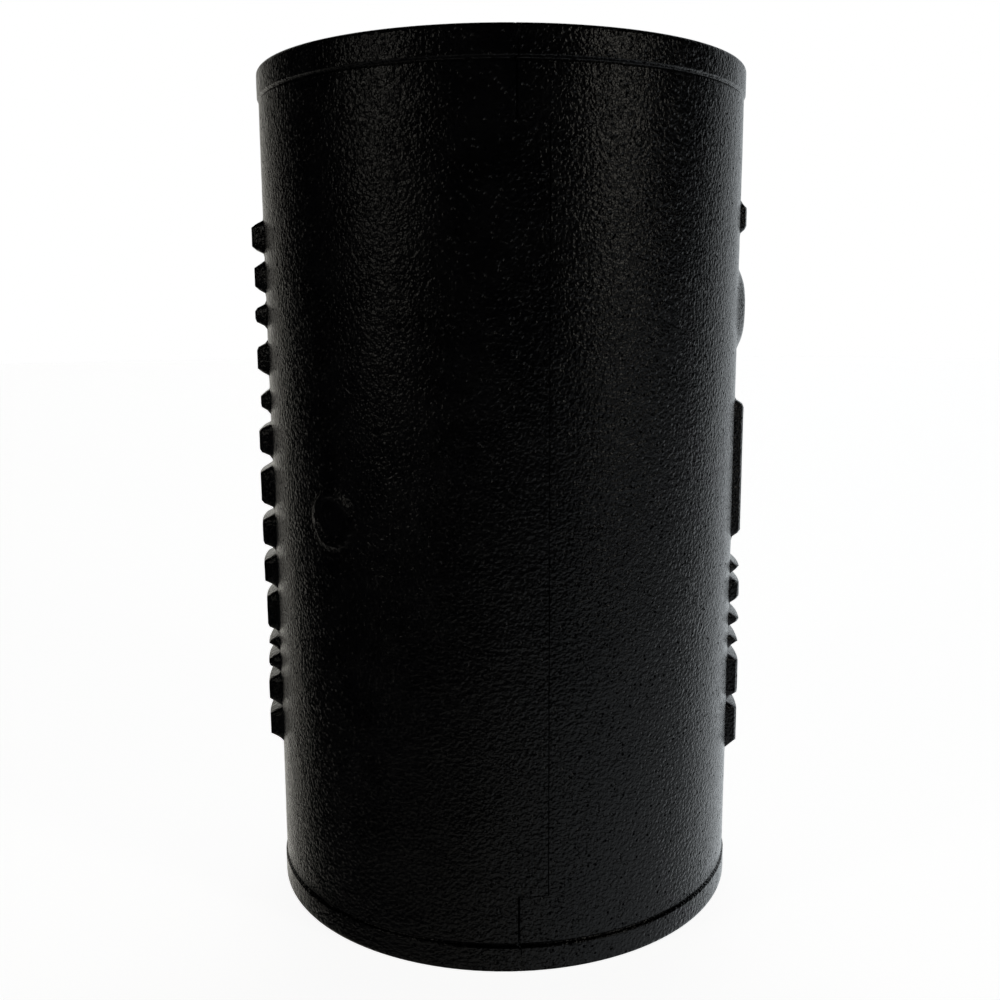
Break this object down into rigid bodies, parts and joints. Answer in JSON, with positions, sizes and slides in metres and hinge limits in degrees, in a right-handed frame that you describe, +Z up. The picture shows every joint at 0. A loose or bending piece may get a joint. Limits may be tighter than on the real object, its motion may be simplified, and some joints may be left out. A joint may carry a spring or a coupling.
{
  "type": "pipe repair clamp",
  "caption": "Hinged cast-iron pipe repair clamp: two coated half shells with rubber liners, a flush pin hinge in front and swing bolts with nuts across the rear seam.",
  "frame": {"origin": "on the pipe's axis, in the plane of the lower end face", "axes": "+Z up along the pipe's axis; -Y towards the hinged front seam; +Y towards the bolted rear seam; +X towards the half that opens"},
  "size_m": [0.1216, 0.1412, 0.2],
  "materials": {
    "coated_cast_iron": "glossy black bituminous coating over a grainy sand casting",
    "liner_rubber": "matte moulded rubber with sealing ribs",
    "stainless_plate": "rolled stainless sheet",
    "zinc_plated_steel": "bright zinc plating",
    "bright_steel": "drawn steel"
  },
  "bodies": {
    "left_half": {"left_shell": "coated_cast_iron", "left_liner": "liner_rubber", "bridge_plate": "stainless_plate", "hinge_pin": "bright_steel", "clevis_pin_1": "bright_steel", "clevis_pin_2": "bright_steel", "clevis_pin_3": "bright_steel", "split_pin_1": "bright_steel", "split_pin_2": "bright_steel", "split_pin_3": "bright_steel"},
    "right_half": {"right_shell": "coated_cast_iron", "right_liner": "liner_rubber", "pin_screw_upper": "bright_steel", "pin_screw_lower": "bright_steel"},
    "bolt_1": {"swing_bolt_1": "zinc_plated_steel"},
    "washer_1": {"washer_1": "zinc_plated_steel"},
    "nut_1": {"nut_1": "zinc_plated_steel"},
    "bolt_2": {"swing_bolt_2": "zinc_plated_steel"},
    "washer_2": {"washer_2": "zinc_plated_steel"},
    "nut_2": {"nut_2": "zinc_plated_steel"},
    "bolt_3": {"swing_bolt_3": "zinc_plated_steel"},
    "washer_3": {"washer_3": "zinc_plated_steel"},
    "nut_3": {"nut_3": "zinc_plated_steel"}
  },
  "joints": [
    {"name": "shell_hinge", "type": "hinge", "parent": "left_half", "child": "right_half", "pos_m": [0, -0.0535, 0.1], "axis": [0, 0, -1], "range_deg": [0, 60]},
    {"name": "bolt_swing_1", "type": "hinge", "parent": "left_half", "child": "bolt_1", "pos_m": [-0.013, 0.071, 0.03333], "axis": [0, 0, 1], "range_deg": [0, 180]},
    {"name": "washer_slide_1", "type": "slide", "parent": "bolt_1", "child": "washer_1", "axis": [1, 0, 0], "range_m": [-0.0147, 0.0018]},
    {"name": "nut_turn_1", "type": "hinge", "parent": "washer_1", "child": "nut_1", "pos_m": [0.04, 0.071, 0.03333], "axis": [1, 0, 0], "range_deg": [-3020, 360]},
    {"name": "bolt_swing_2", "type": "hinge", "parent": "left_half", "child": "bolt_2", "pos_m": [-0.013, 0.071, 0.1], "axis": [0, 0, 1], "range_deg": [0, 180]},
    {"name": "washer_slide_2", "type": "slide", "parent": "bolt_2", "child": "washer_2", "axis": [1, 0, 0], "range_m": [-0.0147, 0.0018]},
    {"name": "nut_turn_2", "type": "hinge", "parent": "washer_2", "child": "nut_2", "pos_m": [0.04, 0.071, 0.1], "axis": [1, 0, 0], "range_deg": [-3020, 360]},
    {"name": "bolt_swing_3", "type": "hinge", "parent": "left_half", "child": "bolt_3", "pos_m": [-0.013, 0.071, 0.16667], "axis": [0, 0, 1], "range_deg": [0, 180]},
    {"name": "washer_slide_3", "type": "slide", "parent": "bolt_3", "child": "washer_3", "axis": [1, 0, 0], "range_m": [-0.0147, 0.0018]},
    {"name": "nut_turn_3", "type": "hinge", "parent": "washer_3", "child": "nut_3", "pos_m": [0.04, 0.071, 0.16667], "axis": [1, 0, 0], "range_deg": [-3020, 360]}
  ],
  "couplings": [
    {"joint": "bolt_swing_1", "follows": "shell_hinge", "ratio": 3},
    {"joint": "washer_slide_1", "follows": "nut_turn_1", "m_per_rad": 0.00027852},
    {"joint": "bolt_swing_2", "follows": "shell_hinge", "ratio": 3},
    {"joint": "washer_slide_2", "follows": "nut_turn_2", "m_per_rad": 0.00027852},
    {"joint": "bolt_swing_3", "follows": "shell_hinge", "ratio": 3},
    {"joint": "washer_slide_3", "follows": "nut_turn_3", "m_per_rad": 0.00027852}
  ]
}
